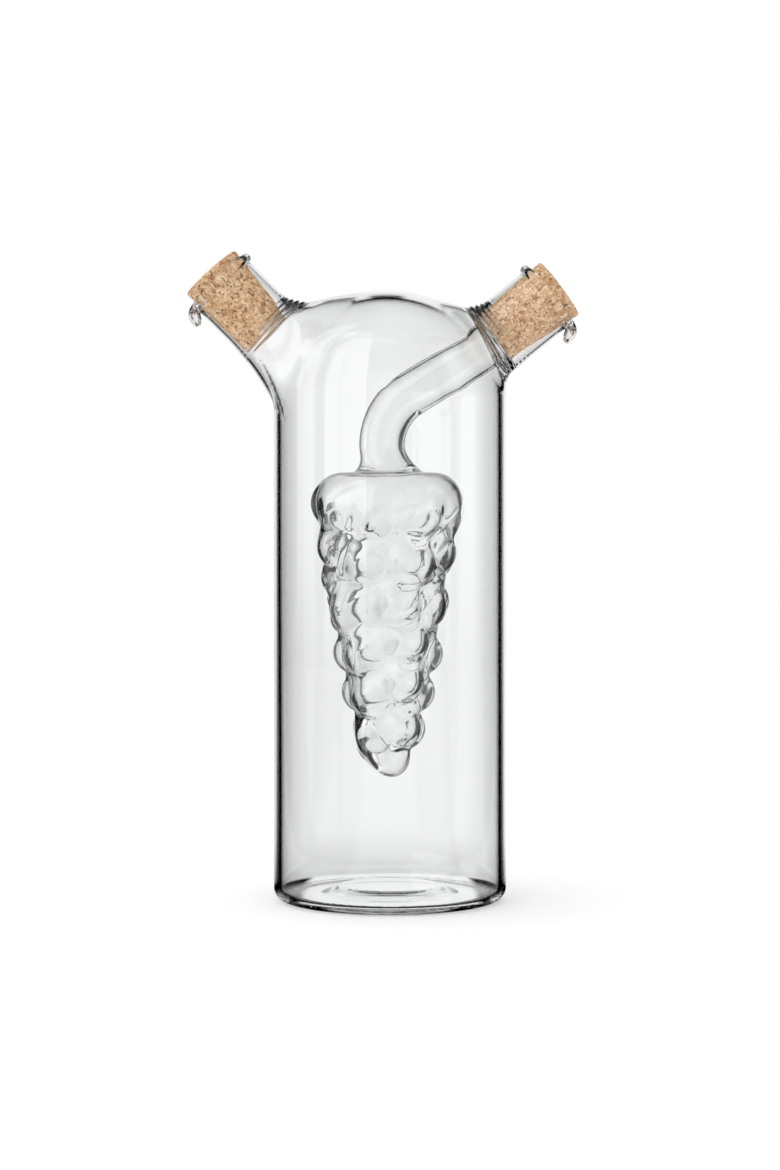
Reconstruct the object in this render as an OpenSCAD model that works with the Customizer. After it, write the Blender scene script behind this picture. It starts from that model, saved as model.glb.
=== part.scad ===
// Oil and vinegar cruet of clear glass, in millimetres. The outer vessel holds the oil and
// pours from the neck on the left. A grape-shaped inner vessel holds the vinegar: its curved
// tube is fused into the neck on the right. Each neck is closed by a tapered cork.
// The body stands on z = 0 about the Z axis, and both necks lean in the XZ plane.

/* [Outer vessel] */
// Outer diameter of the straight body
body_d = 65; // [56:0.5:76]
// Height of the body to the crown of its dome
body_h = 170.5; // [162:0.5:190]
// Thickness of the body's glass
body_wall = 1.6; // [1:0.1:2]
// Thickness of the glass at the crown
crown_t = 2; // [1.5:0.1:3]
// Thickness of the floor
floor_t = 2; // [1.5:0.1:4]
// Radius of the heel between wall and foot
heel_r = 4; // [2:0.5:6]
// Width of the flat ring that the vessel stands on
foot_w = 2.5; // [1.5:0.5:5]
// Rise of the pushed-up floor at its centre
kick_h = 2.2; // [1:0.1:4]

/* [Necks] */
// Outer diameter of each neck
neck_d = 19.8; // [18:0.1:22]
// Thickness of a neck's glass
neck_wall = 0.85; // [0.6:0.05:1.5]
// Thickness of the rolled bead round each mouth
bead_d = 2.7; // [2:0.1:4]
// Thickness of the fused ring where each neck joins the shoulder
weld_d = 1.9; // [1.4:0.1:2.6]
// Distance from a mouth to the fused ring behind it
weld_back = 18; // [16:0.5:19]
// Rise of the oil neck above the horizontal, in degrees
oil_tilt = 45; // [40:1:50]
// Distance from the body's axis to the centre of the oil mouth
oil_reach = 48.2; // [46:0.2:52]
// Drop from the crown's level to the centre of the oil mouth, negative above the crown
oil_drop = -2.9; // [-5:0.1:-1]
// Radius of the long flare that leads the oil neck into the wall
oil_flare_r = 68; // [60:1:80]
// Distance from the oil mouth to the start of that flare
oil_flare_back = 13.7; // [12:0.1:16]
// Length of that flare along the neck
oil_flare_l = 26; // [24:0.5:28]
// Rise of the vinegar neck above the horizontal, in degrees
vinegar_tilt = 39; // [36:1:43]
// Distance from the body's axis to the centre of the vinegar mouth
vinegar_reach = 45.1; // [43:0.1:49]
// Drop from the crown's level to the centre of the vinegar mouth
vinegar_drop = 1.2; // [0:0.1:3]
// Radius of the swelling that carries the oil neck
oil_swell_r = 15.2; // [14.2:0.1:15.6]
// Radius of the swelling that carries the vinegar neck
vinegar_swell_r = 14.3; // [13.5:0.1:15]
// Distance from the body's axis to the centre of each swelling
swell_x = 19; // [18:0.1:20]
// Drop from the crown's level to the centre of each swelling
swell_drop = 18.8; // [18:0.1:20]

/* [Pour lips] */
// Radius of the curl that the lip rolls over
lip_curl_r = 3.6; // [3:0.1:4.5]
// Thickness of the lip's glass
lip_t = 2.3; // [1.8:0.1:2.8]
// Width of the lip across the neck
lip_w = 13; // [9:0.5:15]

/* [Inner vessel] */
// Outer diameter of the curved tube
tube_d = 12.8; // [11:0.1:13.6]
// Thickness of the inner vessel's glass
inner_wall = 1.1; // [0.8:0.1:1.4]
// Slope of the tube where it leaves the collar, below the horizontal, in degrees
tube_tilt = 32; // [29:1:36]
// Radius of the tube's bend, on its centre line
bend_r = 17; // [15:0.5:19]
// Length of the collar that leads from the neck to the tube
collar_l = 5.5; // [4:0.5:7]
// Radius of the rim where the tube meets the cluster
rim_r = 9.6; // [8.5:0.1:10.5]
// Radius of the cluster's rounded shoulder
shoulder_r = 7.9; // [6.5:0.1:9]
// Drop from the crown's level to the shoulder of the grape cluster
cluster_drop = 50.9; // [50:0.1:56]
// Height of the grape cluster
cluster_h = 85; // [80:0.5:92]
// Width of the grape cluster over its top row
cluster_d = 42.6; // [40:0.2:46]
// Offset of the cluster's axis from the body's axis, towards the oil neck
cluster_x = 0.5; // [0:0.1:1.5]
// Offset of the tube's upright stretch from the body's axis, towards the oil neck
tube_x = 2.2; // [1.5:0.1:3]
// Rows of berries, the single one at the tip included
rows = 7; // [6:1:9]
// Radius of a berry in the top row
berry_r = 6.7; // [6.2:0.1:7.2]
// Radius of the berry at the tip
tip_berry_r = 4.9; // [4.5:0.1:5.5]
// Depth of the hollows between the berries
berry_relief = 2.6; // [2:0.1:3.2]

/* [Corks] */
// Length of each cork
cork_l = 23.5; // [21:0.5:25]
// Half the angle of the cork's taper, in degrees
cork_taper = 4; // [3:0.1:5]
// How far each cork stands out of its mouth
cork_out = 3; // [2:0.1:5]
// Clearance round a cork where it fills its mouth
cork_gap = 0.1; // [0.05:0.01:0.3]
// Bevel on the edges of each cork
cork_edge = 0.4; // [0.2:0.1:0.8]
// Lean of the oil cork against its neck, towards the upright, in degrees
oil_lean = 2.8; // [0:0.1:3]
// Lean of the vinegar cork against its neck, towards the horizontal, in degrees
vinegar_lean = 2.2; // [0:0.1:3]

/* [Hidden] */
$fn = 72;
eps = 0.01;

// Body: a hemisphere on a straight wall
body_r = body_d / 2;
spring_z = body_h - body_r;
cavity_r = body_r - body_wall;
crown_z = body_h - crown_t - cavity_r;
kick_r = body_r - heel_r - foot_w;
kick_sphere_r = (kick_r * kick_r + kick_h * kick_h) / (2 * kick_h);
heel_in_r = max(1, heel_r - body_wall / 2);

// Necks: the mouth's centre, and the direction outward along the bore
neck_r = neck_d / 2;
bore_r = neck_r - neck_wall;
oil_mouth = [-oil_reach, 0, body_h - oil_drop];
vinegar_mouth = [vinegar_reach, 0, body_h - vinegar_drop];
oil_turn = -(90 - oil_tilt);
vinegar_turn = 90 - vinegar_tilt;
neck_root = 32;
swell_z = body_h - swell_drop;

// Lip: the centre of its curl, the tongue that it is cut to, and where its edge hangs
lip_curl_x = neck_r + 0.3;
lip_tongue_x = 0.8 * neck_r;
lip_edge = 0.6;

// Collar that narrows from the vinegar neck to the tube, and closes the shoulder round it
seal_gap = 1.9;
seal_back = cork_l - cork_out + seal_gap;
seal_at = [vinegar_mouth[0] - seal_back * cos(vinegar_tilt), 0,
           vinegar_mouth[2] - seal_back * sin(vinegar_tilt)];
seal_turn = 90 - tube_tilt;
collar_r = bore_r - neck_wall / 2;
web_r = bore_r + 4;

// Inner tube: it runs straight from the collar, then bends down to the cluster
cluster_top = body_h - cluster_drop;
tube_r = tube_d / 2;
tube_start = [seal_at[0] - collar_l * cos(tube_tilt), seal_at[2] - collar_l * sin(tube_tilt)];
bend_angle = 90 - tube_tilt;
bend_corner_z = seal_at[2] - (seal_at[0] + tube_x) * tan(tube_tilt);
bend_low_z = bend_corner_z - bend_r * tan(bend_angle / 2);

// Grape cluster
belly_r = cluster_d / 2;
shoulder_ring = belly_r - shoulder_r - 0.5;
shoulder_z = cluster_top - shoulder_r;
row_top_z = shoulder_z - berry_r * 0.4;
tip_z = cluster_top - cluster_h;
tip_flat = 1.7;
belly_power = 0.44;
row_low_z = tip_z + tip_berry_r - 0.8;
row_gap = (row_top_z - row_low_z) / (rows - 1);
berry_pack = 1.14;
row_twist = 7;

// Resolution of the inner vessel's skin
sides = 36;
bend_steps = 7;
flare_steps = 4;
shoulder_steps = 4;
cluster_steps = 36;

module mouth_frame(mouth, turn) {
    translate(mouth) rotate([0, turn, 0]) children();
}

// A neck's solid or its bore, straight from the mouth inwards
module neck_rod(r, in, out = 0) {
    translate([0, 0, -in]) cylinder(r = r, h = in + out);
}

// The trumpet that widens from radius r with a concave curve of radius curve_r
module flare(r, curve_r) {
    translate([0, 0, -oil_flare_back - oil_flare_l]) difference() {
        cylinder(r = r + curve_r - sqrt(curve_r * curve_r - oil_flare_l * oil_flare_l),
                 h = oil_flare_l);
        translate([0, 0, oil_flare_l]) rotate_extrude()
            translate([r + curve_r, 0]) circle(r = curve_r, $fn = 240);
    }
}

module ring(r, d) {
    rotate_extrude() translate([r, 0]) circle(d = d);
}

module lip_tongue(side) {
    translate([side * lip_tongue_x, 0, -lip_curl_r]) cylinder(d = lip_w, h = 3 * lip_curl_r);
}

// The lip is part of a rolled ring, cut to a rounded tongue on the neck's lower side
module lip(side) {
    intersection() {
        difference() {
            ring(lip_curl_x, 2 * lip_curl_r);
            ring(lip_curl_x, 2 * (lip_curl_r - lip_t));
            translate([0, 0, -2 * lip_curl_r - lip_edge]) cylinder(r = 2 * neck_d, h = 2 * lip_curl_r);
        }
        lip_tongue(side);
    }
    intersection() {
        translate([0, 0, -lip_edge]) ring(lip_curl_x + lip_curl_r - lip_t / 2, lip_t);
        lip_tongue(side);
    }
}

module neck_form(side) {
    neck_rod(neck_r, neck_root);
    translate([0, 0, -bead_d / 2]) ring(neck_r, bead_d);
    translate([0, 0, -weld_back]) ring(neck_r - neck_wall / 2, weld_d);
    translate([0, 0, -lip_curl_r]) lip(side);
}

// A swelling's sphere on either side, less the given wall
module swelling(side, wall = 0) {
    translate([side * swell_x, 0, swell_z])
        sphere(r = (side < 0 ? oil_swell_r : vinegar_swell_r) - wall);
}

module body_form() {
    translate([0, 0, heel_r]) cylinder(r = body_r, h = spring_z - heel_r);
    cylinder(r = body_r - heel_r, h = heel_r);
    translate([0, 0, heel_r]) ring(body_r - heel_r, 2 * heel_r);
    translate([0, 0, spring_z]) sphere(r = body_r);
    for (side = [-1, 1]) swelling(side);
}

module body_cavity() {
    difference() {
        union() {
            translate([0, 0, floor_t + heel_in_r])
                cylinder(r = cavity_r, h = crown_z - floor_t - heel_in_r);
            translate([0, 0, floor_t]) cylinder(r = cavity_r - heel_in_r, h = heel_in_r);
            translate([0, 0, floor_t + heel_in_r]) ring(cavity_r - heel_in_r, 2 * heel_in_r);
            translate([0, 0, crown_z]) sphere(r = cavity_r);
            for (side = [-1, 1]) swelling(side, body_wall);
        }
        translate([0, 0, kick_h - kick_sphere_r]) sphere(r = kick_sphere_r + floor_t, $fn = 240);
    }
}

module seal_frame() {
    translate(seal_at) rotate([0, seal_turn, 0]) children();
}

// The collar round the tube and the web that joins it to the shoulder, both as solids
module collar_form() {
    seal_frame() {
        translate([0, 0, -collar_l])
            cylinder(r1 = tube_r, r2 = collar_r + inner_wall, h = collar_l);
        translate([0, 0, -inner_wall]) cylinder(r = web_r, h = inner_wall);
    }
}

module collar_bore() {
    seal_frame() {
        translate([0, 0, -collar_l])
            cylinder(r1 = tube_r - inner_wall, r2 = collar_r, h = collar_l);
        translate([0, 0, -collar_l - eps]) cylinder(r = tube_r - inner_wall, h = collar_l);
        translate([0, 0, -eps]) cylinder(r = collar_r, h = 1);
    }
}

module outer_vessel() {
    color([0.85, 0.9, 0.9, 0.35]) difference() {
        union() {
            body_form();
            mouth_frame(oil_mouth, oil_turn) {
                neck_form(-1);
                flare(neck_r, oil_flare_r);
            }
            mouth_frame(vinegar_mouth, vinegar_turn) neck_form(1);
        }
        difference() {
            union() {
                body_cavity();
                mouth_frame(vinegar_mouth, vinegar_turn) neck_rod(bore_r, seal_back + seal_gap, bead_d);
            }
            collar_form();
        }
        collar_bore();
        translate([0, 0, kick_h - kick_sphere_r]) sphere(r = kick_sphere_r, $fn = 240);
        mouth_frame(oil_mouth, oil_turn) {
            neck_rod(bore_r, neck_root, bead_d);
            flare(bore_r, oil_flare_r + neck_wall);
        }
    }
}

// The cluster's outline at height z, close to a paraboloid about its own axis
function belly(z) =
    belly_r * pow(max(0, z - tip_z + tip_flat) / (row_top_z - tip_z + tip_flat), belly_power);

// Berries: rows of spheres round the cluster's axis, each row turned against the one above
function berry_size(k) = berry_r + (tip_berry_r - berry_r) * k / (rows - 1);
function row_z(k) = row_top_z - k * row_gap;
function row_ring(k) = k == rows - 1 ? 0 : belly(row_z(k)) - berry_size(k);
function row_count(k) = max(1, round(berry_pack * PI * row_ring(k) / berry_size(k)));
function berry_angle(k, i) = (i + (k % 2) / 2) * 360 / row_count(k) + k * row_twist;

// How far from the axis the sphere of berry i in row k reaches, at angle a and height z
function berry_reach(k, i, a, z, in) =
    let (c = row_ring(k),
         off = a - berry_angle(k, i),
         left = pow(berry_size(k) - in, 2) - pow(z - row_z(k), 2) - pow(c * sin(off), 2))
    left > 0 ? c * cos(off) + sqrt(left) : 0;

// Radius of the cluster's skin, pulled in by the given depth for the inside of the glass
function skin(a, z, in) = max([
    max(belly(z) - berry_relief, tip_berry_r / 2) - in,
    for (k = [0:rows - 1])
        if (abs(z - row_z(k)) < berry_size(k))
            for (i = [0:row_count(k) - 1]) berry_reach(k, i, a, z, in)
]);

// A ring of points: centre [x, z], the slope of the ring's plane, and one radius a side
function hoop(x, z, slope, radii) = [
    for (j = [0:sides - 1])
        let (a = j * 360 / sides)
        [x + radii[j] * cos(a) * cos(slope), radii[j] * sin(a), z + radii[j] * cos(a) * sin(slope)]
];
function even(r) = [for (j = [0:sides - 1]) r];

// The skin of the whole inner vessel as rings from the seal to the tip
function skin_rings(in) = [
    hoop(tube_start[0], tube_start[1], -bend_angle, even(tube_r - in)),
    for (i = [0:bend_steps])
        let (t = bend_angle * (1 - i / bend_steps))
        hoop(bend_r * (1 - cos(t)) - tube_x, bend_low_z + bend_r * sin(t), -t, even(tube_r - in)),
    for (i = [1:flare_steps])
        let (t = i / flare_steps)
        hoop((tube_x - cluster_x) * t - tube_x,
             bend_low_z + (cluster_top - in - bend_low_z) * t, 0,
             even(tube_r - in + (rim_r - tube_r) * t)),
    for (i = [0:shoulder_steps])
        let (t = 90 * i / shoulder_steps)
        hoop(-cluster_x, shoulder_z + (shoulder_r - in) * cos(t), 0,
             even(shoulder_ring + (shoulder_r - in) * sin(t))),
    for (i = [1:cluster_steps])
        let (z = shoulder_z + (tip_z + in - shoulder_z) * i / cluster_steps)
        hoop(-cluster_x, z, 0, [for (j = [0:sides - 1]) skin(j * 360 / sides, z, in)])
];

// Two triangles for each cell between two rings, wound one way or the other
function band(low, high, flip) = [
    for (j = [0:sides - 1])
        let (n = (j + 1) % sides,
             one = [low + j, high + j, high + n],
             two = [low + j, high + n, low + n])
        each flip ? [[one[2], one[1], one[0]], [two[2], two[1], two[0]]] : [one, two]
];

module inner_vessel() {
    outside = skin_rings(0);
    inside = skin_rings(inner_wall);
    count = len(outside);
    points = [for (ring = concat(outside, inside)) each ring];
    last = (count - 1) * sides;
    inner = count * sides;
    faces = [
        for (i = [0:count - 2]) each band(i * sides, (i + 1) * sides, true),
        for (i = [0:count - 2]) each band(inner + i * sides, inner + (i + 1) * sides, false),
        each band(0, inner, false),
        [for (j = [0:sides - 1]) last + j],
        [for (j = [sides - 1:-1:0]) inner + last + j]
    ];
    color([0.75, 0.88, 0.9, 0.5]) polyhedron(points, faces, convexity = 8);
}

// A tapered cork whose radius fits the mouth, leaning about the mouth's centre
module cork(lean) {
    slope = tan(cork_taper);
    mouth_r = bore_r - cork_gap;
    low_r = mouth_r - (cork_l - cork_out) * slope;
    top_r = mouth_r + cork_out * slope;
    rotate([0, lean, 0]) translate([0, 0, cork_out - cork_l]) {
        cylinder(r1 = low_r - cork_edge, r2 = low_r + cork_edge * slope, h = cork_edge);
        translate([0, 0, cork_edge])
            cylinder(r1 = low_r + cork_edge * slope, r2 = top_r - cork_edge * slope,
                     h = cork_l - 2 * cork_edge);
        translate([0, 0, cork_l - cork_edge])
            cylinder(r1 = top_r - cork_edge * slope, r2 = top_r - cork_edge, h = cork_edge);
    }
}

module oil_stopper() {
    color([0.78, 0.62, 0.46]) mouth_frame(oil_mouth, oil_turn) cork(oil_lean);
}

module vinegar_stopper() {
    color([0.78, 0.62, 0.46]) mouth_frame(vinegar_mouth, vinegar_turn) cork(vinegar_lean);
}

outer_vessel();
inner_vessel();
oil_stopper();
vinegar_stopper();
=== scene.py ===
"""Oil and vinegar cruet of clear blown glass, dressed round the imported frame.

The bottle's two skins and its tubed necks are one closed mesh, the grape-shaped inner vessel is a
second one, and each cork is its own piece. Sizes are in millimetres until a mesh is made.
"""

import math
from functools import partial

import bmesh
import bpy
import numpy as np
from bpy.props import FloatProperty, FloatVectorProperty, IntProperty, PointerProperty
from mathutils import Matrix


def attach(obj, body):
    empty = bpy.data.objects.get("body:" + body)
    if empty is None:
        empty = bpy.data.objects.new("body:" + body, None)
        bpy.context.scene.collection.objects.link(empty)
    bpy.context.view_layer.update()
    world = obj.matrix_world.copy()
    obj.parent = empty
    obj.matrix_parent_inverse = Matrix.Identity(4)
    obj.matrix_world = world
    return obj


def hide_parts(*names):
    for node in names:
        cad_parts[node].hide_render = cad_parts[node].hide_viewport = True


bl_info = {
    "name": "Oil and vinegar cruet",
    "version": (1, 0, 0),
    "blender": (4, 5, 0),
    "location": "3D View > Sidebar > Cruet",
    "description": "Builds a blown glass oil and vinegar cruet, its corks and a plain studio",
    "category": "Add Mesh",
}

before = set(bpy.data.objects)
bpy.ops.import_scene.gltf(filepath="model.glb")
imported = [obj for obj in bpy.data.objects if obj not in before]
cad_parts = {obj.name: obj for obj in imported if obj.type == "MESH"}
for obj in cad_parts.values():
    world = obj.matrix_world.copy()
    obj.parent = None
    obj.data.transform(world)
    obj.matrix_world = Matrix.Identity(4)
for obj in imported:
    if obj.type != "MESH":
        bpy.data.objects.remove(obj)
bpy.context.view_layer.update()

MM = 0.001
TAU = 2 * math.pi


# ---- shapes as whole arrays


def smooth_min(a, b, k):
    """The lesser of a and b, rounded by a quadratic where they come within k of each other."""
    h = np.clip(0.5 + 0.5 * (b - a) / k, 0, 1)
    return b + (a - b) * h - k * h * (1 - h)


def smooth_max(a, b, k):
    """The greater of a and b, rounded in the same way."""
    return -smooth_min(-a, -b, k)


def ease(t):
    """A step from 0 to 1 with level ends: 3 t squared less 2 t cubed."""
    t = np.clip(t, 0, 1)
    return t * t * (3 - 2 * t)


class Line:
    """An axis in the XZ plane: a point on it, the way outward, and where meshes are cut on it."""

    def __init__(self, point, rise, side, cut):
        self.point = np.array([point[0], 0.0, point[1]])
        self.rise, self.side, self.cut = rise, side, cut
        self.out = np.array([side * math.cos(rise), 0.0, math.sin(rise)])
        # square to out in the XZ plane, towards the underside of the neck
        self.under = np.array([side * math.sin(rise), 0.0, -math.cos(rise)])
        self.wide = np.array([0.0, 1.0, 0.0])

    def reach(self, p):
        """How far each point lies outward of the line's own point, and how far off the line."""
        d = p - self.point
        along = d @ self.out
        off = d - along[..., None] * self.out
        return along, np.sqrt((off * off).sum(-1) + 1e-12)


def surface_net(field, axes):
    """The surface where field is zero, meshed by one vertex for each grid cell it crosses.

    A vertex starts at the mean of the crossings on its cell's edges, and each crossed edge joins
    the four cells round it by a quad. Newton steps then put every vertex on the surface.
    """
    grid = np.stack(np.meshgrid(*axes, indexing="ij"), -1)
    value = field(grid)
    inside = value < 0
    shape = value.shape
    total = np.zeros([n + 1 for n in shape] + [3])
    count = np.zeros([n + 1 for n in shape])
    crossed = []
    for axis in range(3):
        lo = [slice(None)] * 3
        hi = [slice(None)] * 3
        lo[axis], hi[axis] = slice(0, -1), slice(1, None)
        lo, hi = tuple(lo), tuple(hi)
        cut = inside[lo] != inside[hi]
        at = np.argwhere(cut)
        a, b = value[lo][cut], value[hi][cut]
        t = (a / (a - b))[:, None]
        point = grid[lo][cut] * (1 - t) + grid[hi][cut] * t
        others = [o for o in range(3) if o != axis]
        for du in (0, 1):
            for dv in (0, 1):
                cell = at + 1
                cell[:, others[0]] -= du
                cell[:, others[1]] -= dv
                key = tuple(cell.T)
                np.add.at(total, key, point)
                np.add.at(count, key, 1)
        crossed.append((axis, others, at, inside[lo][cut]))
    used = count > 0
    number = np.cumsum(used.ravel()).reshape(used.shape) - 1
    points = total[used] / count[used][:, None]
    quads = []
    for axis, others, at, within in crossed:
        corners = []
        for du, dv in ((0, 0), (1, 0), (1, 1), (0, 1)):
            cell = at + 1
            cell[:, others[0]] -= du
            cell[:, others[1]] -= dv
            corners.append(number[tuple(cell.T)])
        quad = np.stack(corners, 1)
        turn = within if axis != 1 else ~within
        quads.append(np.where(turn[:, None], quad, quad[:, ::-1]))
    points = settle(field, points)
    return points, np.concatenate(quads)


def slope(field, p, h=0.02):
    """The gradient of field at each point, by central differences."""
    return np.stack(
        [field(p + h * e) - field(p - h * e) for e in np.eye(3)], -1
    ) / (2 * h)


def settle(field, p, rounds=4):
    """Newton steps along the gradient, until each point lies where field is zero."""
    for _ in range(rounds):
        g = slope(field, p)
        step = (field(p) / np.maximum((g * g).sum(-1), 1e-6))[..., None] * g
        size = np.linalg.norm(step, axis=-1, keepdims=True)
        p = p - step * np.minimum(1, 0.6 / np.maximum(size, 1e-9))
    return p


def unit(v):
    return v / np.maximum(np.linalg.norm(v, axis=-1, keepdims=True), 1e-12)


# the kinds of face on a skin, and the material of each
OUTER, INNER, CUT, RINGS = range(4)
MATERIAL_OF = np.array([0, 1, 1, 2])


class Skin:
    """Vertices, faces of three or four corners and one normal a vertex, gathered part by part."""

    def __init__(self):
        self.points, self.normals, self.faces, self.kinds = [], [], [], []
        self.size = 0

    def add(self, points, normals):
        self.points.append(points)
        self.normals.append(unit(normals))
        first = self.size
        self.size += len(points)
        return first

    def face(self, corners, kind=0):
        if len(corners):
            self.faces.append(corners)
            self.kinds.append(np.full(len(corners), kind))

    def grid(self, points, kind=0, flip=False):
        """A tube of rings: points[i, j] is corner j of ring i, and each ring closes on itself."""
        along = np.gradient(points, axis=0)
        round_ = np.roll(points, -1, 1) - np.roll(points, 1, 1)
        normals = np.cross(round_, along) * (-1 if flip else 1)
        rings, sides = points.shape[:2]
        first = self.add(points.reshape(-1, 3), normals.reshape(-1, 3))
        index = first + np.arange(rings * sides).reshape(rings, sides)
        a, b = index[:-1], index[1:]
        quad = np.stack([a, np.roll(a, -1, 1), np.roll(b, -1, 1), b], -1).reshape(-1, 4)
        self.face(quad[:, ::-1] if flip else quad, kind)
        return index

    def strip(self, low, high, low_turn, high_turn, kind=0, flip=False):
        """Triangles between two closed loops, each sorted by its own angle.

        Every edge of a loop is joined to the vertex of the other loop that is level with it in
        the merged order of the edges' middle angles.
        """
        def middles(turn):
            step = np.diff(np.append(turn, turn[0] + TAU))
            return turn + step / 2

        n, m = len(low), len(high)
        low_key, high_key = middles(low_turn), middles(high_turn)
        j = np.searchsorted(high_key, low_key) % m
        i = np.searchsorted(low_key, high_key) % n
        one = np.stack([low, np.roll(low, -1), high[j]], 1)
        two = np.stack([low[i], np.roll(high, -1), high], 1)
        tri = np.concatenate([one, two])
        self.face(tri[:, ::-1] if flip else tri, kind)

    def piece(self, name, materials, flat=()):
        """The gathered skin as a mesh object in metres, with its own corner normals."""
        points = np.concatenate(self.points) * MM
        normals = np.concatenate(self.normals)
        threes = [f for f in self.faces if f.shape[1] == 3]
        fours = [f for f in self.faces if f.shape[1] == 4]
        three_kinds = [k for f, k in zip(self.faces, self.kinds) if f.shape[1] == 3]
        four_kinds = [k for f, k in zip(self.faces, self.kinds) if f.shape[1] == 4]
        kinds = np.concatenate(three_kinds + four_kinds).astype(np.int32)
        loops = np.concatenate([f.ravel() for f in threes + fours]).astype(np.int32)
        totals = np.concatenate([np.full(len(f), f.shape[1]) for f in threes + fours])
        starts = np.concatenate([[0], np.cumsum(totals)[:-1]]).astype(np.int32)
        mesh = bpy.data.meshes.new(name)
        mesh.vertices.add(len(points))
        mesh.vertices.foreach_set("co", points.astype(np.float32).ravel())
        mesh.loops.add(len(loops))
        mesh.loops.foreach_set("vertex_index", loops)
        mesh.polygons.add(len(totals))
        mesh.polygons.foreach_set("loop_start", starts)
        for material in materials:
            mesh.materials.append(material)
        plain = np.isin(kinds, flat)
        mesh.polygons.foreach_set("material_index", MATERIAL_OF[kinds])
        mesh.update(calc_edges=True)
        mesh.polygons.foreach_set("use_smooth", np.ones(len(totals), bool))
        corner = normals[loops]
        if plain.any():
            face_normal = np.zeros(len(totals) * 3, np.float32)
            mesh.polygons.foreach_get("normal", face_normal)
            of_face = np.repeat(np.arange(len(totals)), totals)
            on_flat = plain[of_face]
            corner[on_flat] = face_normal.reshape(-1, 3)[of_face[on_flat]]
        mesh.normals_split_custom_set(corner.astype(np.float32))
        obj = bpy.data.objects.new(name, mesh)
        bpy.context.scene.collection.objects.link(obj)
        return obj


def trim(points, quads, line, at, near, drop_outer=True):
    """Cuts a meshed skin square to a line, and returns its points, triangles and quads.

    Only what lies near the line is cut, and the part outward of the cut is dropped, or else the
    part inward of it.
    """
    mesh = bpy.data.meshes.new("trim")
    mesh.from_pydata(points, [], quads)
    bm = bmesh.new()
    bm.from_mesh(mesh)
    bm.verts.ensure_lookup_table()
    along, off = line.reach(points)
    close = along > at - 6 if drop_outer else (along < at + 3) & (along > at - 14)
    close &= off < near
    chosen = [v for v, c in zip(bm.verts, close) if c]
    # dict.fromkeys drops doubles and keeps the order, so that every run gives the same mesh
    faces = list(dict.fromkeys(f for v in chosen for f in v.link_faces))
    edges = list(dict.fromkeys(e for f in faces for e in f.edges))
    verts = list(dict.fromkeys(v for f in faces for v in f.verts))
    middle = line.point + at * line.out
    bmesh.ops.bisect_plane(
        bm, geom=verts + edges + faces, dist=1e-7, plane_co=middle,
        plane_no=line.out if drop_outer else -line.out, clear_outer=True,
    )
    bmesh.ops.triangulate(bm, faces=[f for f in bm.faces if len(f.verts) > 4])
    bm.to_mesh(mesh)
    bm.free()
    count = len(mesh.vertices)
    points = np.zeros(count * 3, np.float32)
    mesh.vertices.foreach_get("co", points)
    points = points.reshape(-1, 3).astype(float)
    totals = np.zeros(len(mesh.polygons), np.int32)
    loops = np.zeros(len(mesh.loops), np.int32)
    mesh.polygons.foreach_get("loop_total", totals)
    mesh.loops.foreach_get("vertex_index", loops)
    starts = np.concatenate([[0], np.cumsum(totals)[:-1]])
    threes = loops[starts[totals == 3][:, None] + np.arange(3)]
    fours = loops[starts[totals == 4][:, None] + np.arange(4)]
    bpy.data.meshes.remove(mesh)
    return points, threes, fours


def edge_loop(points, threes, fours, line, at):
    """The open edge that trim left at that place along a line, in order of angle."""
    sides = [
        np.stack([f, np.roll(f, -1, 1)], -1).reshape(-1, 2) for f in (threes, fours) if len(f)
    ]
    edges = np.sort(np.concatenate(sides), 1)
    names, counts = np.unique(edges, axis=0, return_counts=True)
    open_ones = np.unique(names[counts == 1])
    along, off = line.reach(points[open_ones])
    mine = open_ones[(np.abs(along - at) < 0.05) & (off < 20)]
    d = points[mine] - line.point
    turn = np.arctan2(d @ line.wide, d @ line.under) % TAU
    order = np.argsort(turn)
    return mine[order], turn[order]


def arc(centre, radius, start, stop, count):
    """Points on a circle in the plane of a profile, from one angle to another in degrees."""
    a = np.radians(np.linspace(start, stop, count))
    return np.stack([centre[0] + radius * np.cos(a), centre[1] + radius * np.sin(a)], 1)


def even_run(points, count):
    """The same open path with count points evenly spaced along it."""
    step = np.linalg.norm(np.diff(points, axis=0), axis=1)
    run = np.concatenate([[0], np.cumsum(step)])
    want = np.linspace(0, run[-1], count)
    return np.stack([np.interp(want, run, points[:, i]) for i in range(points.shape[1])], 1)


def ripple(turn, height, seed, terms=5):
    """A faint seeded unevenness of blown glass: a sum of slow waves round and along the form."""
    rng = np.random.default_rng(seed)
    total = np.zeros(np.broadcast(turn, height).shape)
    for _ in range(terms):
        lobes = rng.integers(1, 6)
        pitch = rng.uniform(0.05, 0.35)
        total += np.sin(lobes * turn + pitch * height + rng.uniform(0, TAU)) / terms
    return total


# ---- sizes


class CruetSizes(bpy.types.PropertyGroup):
    """The sizes of the cruet that a user would change, in metres."""

    body_diameter: FloatProperty(
        name="Body diameter", description="Outer diameter of the straight body",
        default=0.065, unit="LENGTH")
    crown_height: FloatProperty(
        name="Crown height", description="Height of the body to the crown of its dome",
        default=0.1705, unit="LENGTH")
    body_wall: FloatProperty(
        name="Body wall", description="Thickness of the body's glass",
        default=0.00165, unit="LENGTH")
    neck_diameter: FloatProperty(
        name="Neck diameter", description="Outer diameter of each neck",
        default=0.0198, unit="LENGTH")
    neck_wall: FloatProperty(
        name="Neck wall", description="Thickness of a neck's glass",
        default=0.00085, unit="LENGTH")
    inner_wall: FloatProperty(
        name="Inner wall", description="Thickness of the grape-shaped vessel's glass",
        default=0.0008, unit="LENGTH")
    glass_tint: FloatVectorProperty(
        name="Glass tint", description="Faint colour of the glass", subtype="COLOR",
        default=(0.985, 0.99, 0.988), size=3, min=0, max=1)
    cork_seed: IntProperty(
        name="Cork seed", description="Seed of the corks' pits and crumbs", default=7)


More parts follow.
